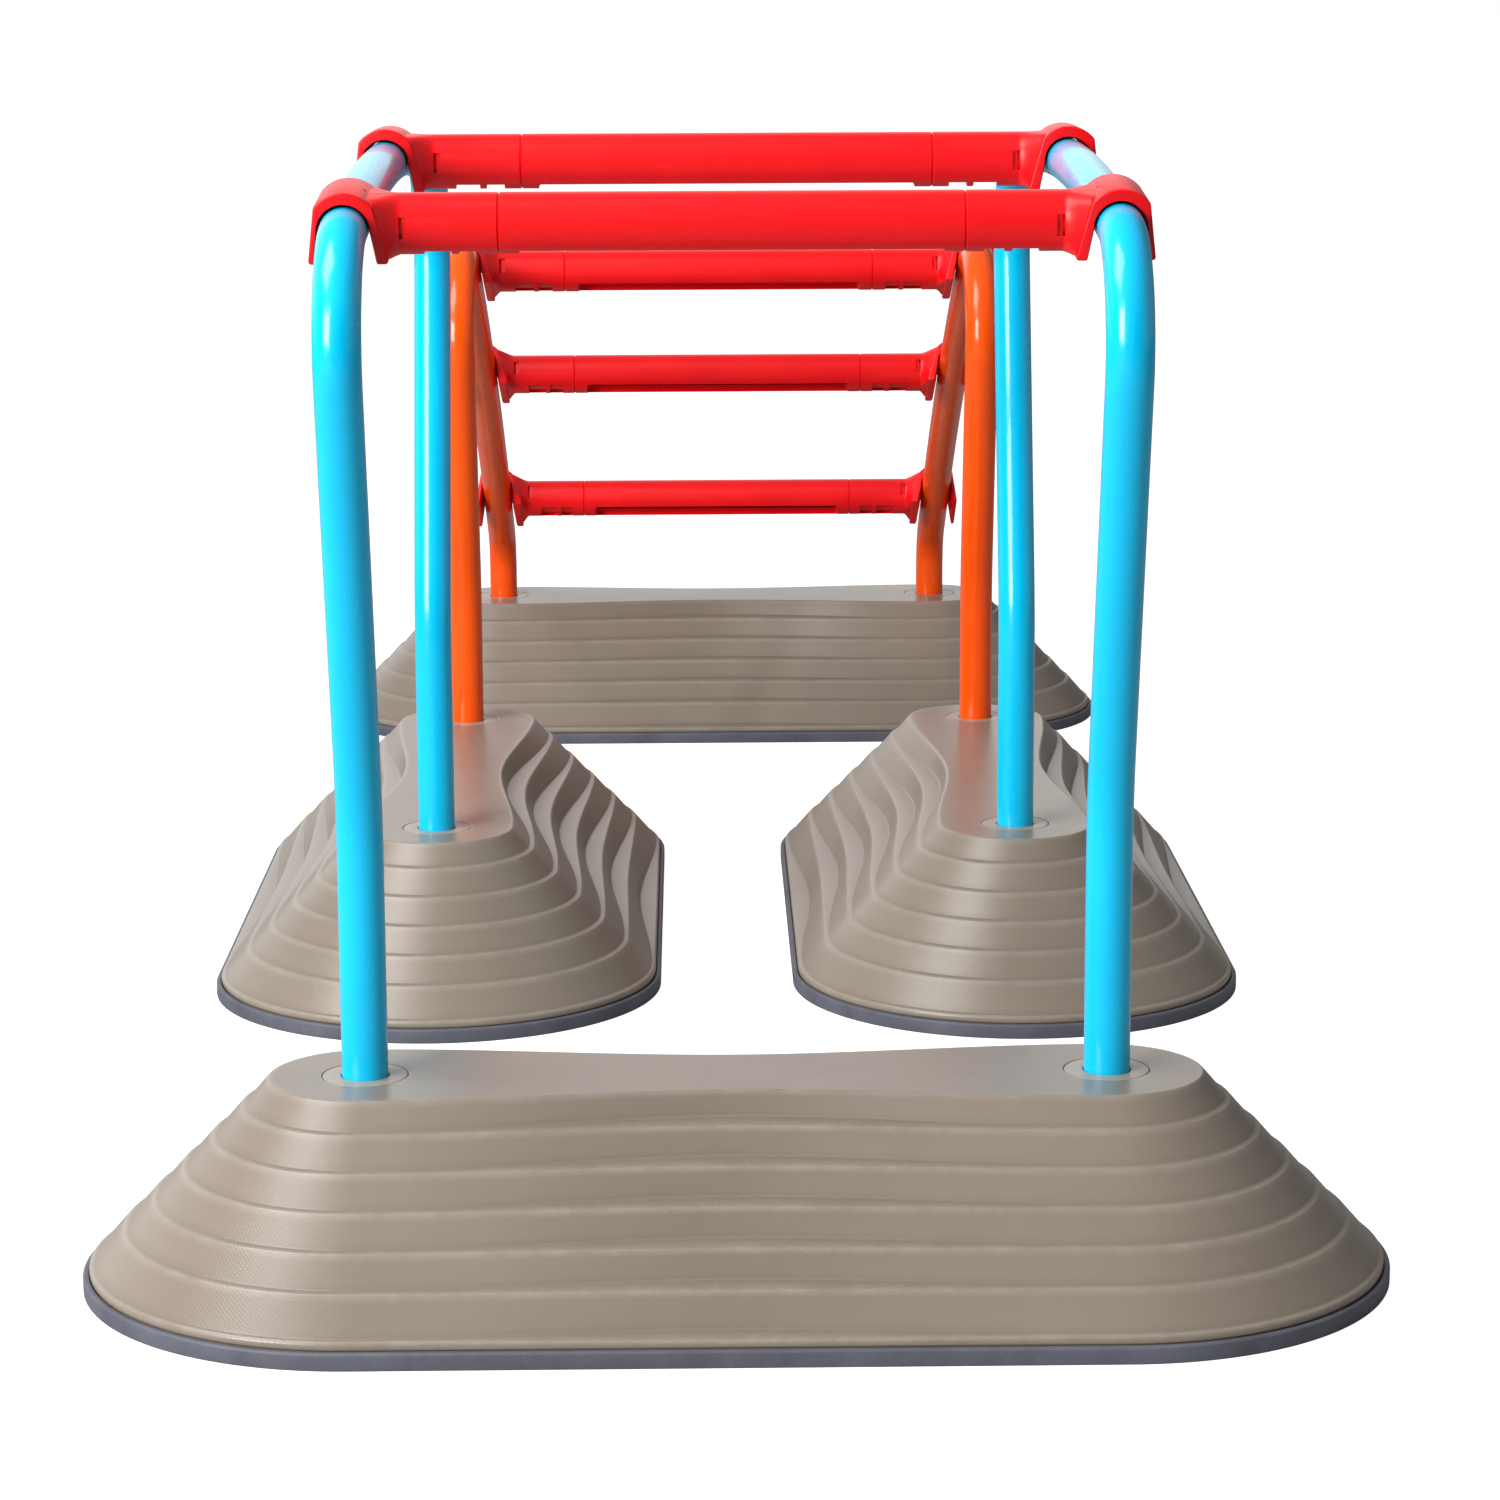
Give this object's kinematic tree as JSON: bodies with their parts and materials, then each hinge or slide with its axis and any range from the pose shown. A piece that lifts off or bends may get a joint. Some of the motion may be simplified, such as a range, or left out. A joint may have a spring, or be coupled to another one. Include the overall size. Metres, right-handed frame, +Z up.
{
  "type": "children's modular climbing set",
  "caption": "Low indoor climbing set: terraced plastic bases, bent steel tubes arching and sloping between them, and clip-on plastic rungs.",
  "frame": {"origin": "middle of the set on the floor", "axes": "+Y runs from the front base to the rear base, +Z up, +X to the right seen from the front"},
  "size_m": [0.708, 1.968, 0.6051],
  "materials": {
    "base_shell": "fine-grained moulded taupe plastic",
    "rim_rubber": "smooth dark grey rubber",
    "socket_plastic": "satin taupe plastic",
    "plug_plastic": "black push-in plugs",
    "tube_blue": "glossy powder coat",
    "tube_orange": "glossy powder coat",
    "rung_red": "satin moulded plastic"
  },
  "bodies": {
    "bases": {"front_base_rim": "rim_rubber", "front_base_shell": "base_shell", "front_base_socket_cup_1": "socket_plastic", "front_base_socket_cup_2": "socket_plastic", "middle_base_left_rim": "rim_rubber", "middle_base_left_shell": "base_shell", "middle_base_left_socket_cup_1": "socket_plastic", "middle_base_left_socket_cup_2": "socket_plastic", "middle_base_right_rim": "rim_rubber", "middle_base_right_shell": "base_shell", "middle_base_right_socket_cup_1": "socket_plastic", "middle_base_right_socket_cup_2": "socket_plastic", "rear_base_rim": "rim_rubber", "rear_base_shell": "base_shell", "rear_base_socket_cup_1": "socket_plastic", "rear_base_socket_cup_2": "socket_plastic"},
    "blue_tube_left": {"blue_tube_left": "tube_blue", "blue_tube_left_foot_plugs": "plug_plastic"},
    "blue_tube_right": {"blue_tube_right": "tube_blue", "blue_tube_right_foot_plugs": "plug_plastic"},
    "orange_tube_left": {"orange_tube_left": "tube_orange", "orange_tube_left_foot_plugs": "plug_plastic"},
    "orange_tube_right": {"orange_tube_right": "tube_orange", "orange_tube_right_foot_plugs": "plug_plastic"},
    "rung_1": {"rung_1_bar": "rung_red", "rung_1_clamp_left": "rung_red", "rung_1_clamp_right": "rung_red"},
    "rung_2": {"rung_2_bar": "rung_red", "rung_2_clamp_left": "rung_red", "rung_2_clamp_right": "rung_red"},
    "rung_3": {"rung_3_bar": "rung_red", "rung_3_clamp_left": "rung_red", "rung_3_clamp_right": "rung_red"},
    "rung_4": {"rung_4_bar": "rung_red", "rung_4_clamp_left": "rung_red", "rung_4_clamp_right": "rung_red"},
    "rung_5": {"rung_5_bar": "rung_red", "rung_5_clamp_left": "rung_red", "rung_5_clamp_right": "rung_red"}
  },
  "joints": [
    {"name": "blue_tube_left_lift", "type": "slide", "parent": "bases", "child": "blue_tube_left", "axis": [0, 0, 1], "range_m": [0, 0.12]},
    {"name": "blue_tube_right_lift", "type": "slide", "parent": "bases", "child": "blue_tube_right", "axis": [0, 0, 1], "range_m": [0, 0.12]},
    {"name": "orange_tube_left_lift", "type": "slide", "parent": "bases", "child": "orange_tube_left", "axis": [0, 0, 1], "range_m": [0, 0.12]},
    {"name": "orange_tube_right_lift", "type": "slide", "parent": "bases", "child": "orange_tube_right", "axis": [0, 0, 1], "range_m": [0, 0.12]},
    {"name": "rung_1_unclip", "type": "slide", "parent": "blue_tube_left", "child": "rung_1", "axis": [0, -0.1096, 0.994], "range_m": [0, 0.06]},
    {"name": "rung_2_unclip", "type": "slide", "parent": "blue_tube_left", "child": "rung_2", "axis": [0, -0.0035, 1], "range_m": [0, 0.06]},
    {"name": "rung_3_unclip", "type": "slide", "parent": "orange_tube_left", "child": "rung_3", "axis": [0, 0.3756, 0.9268], "range_m": [0, 0.06]},
    {"name": "rung_4_unclip", "type": "slide", "parent": "orange_tube_left", "child": "rung_4", "axis": [0, 0.4507, 0.8927], "range_m": [0, 0.06]},
    {"name": "rung_5_unclip", "type": "slide", "parent": "orange_tube_left", "child": "rung_5", "axis": [0, 0.5308, 0.8475], "range_m": [0, 0.06]}
  ],
  "couplings": [
    {"joint": "blue_tube_right_lift", "follows": "blue_tube_left_lift", "ratio": 1},
    {"joint": "orange_tube_right_lift", "follows": "orange_tube_left_lift", "ratio": 1}
  ]
}
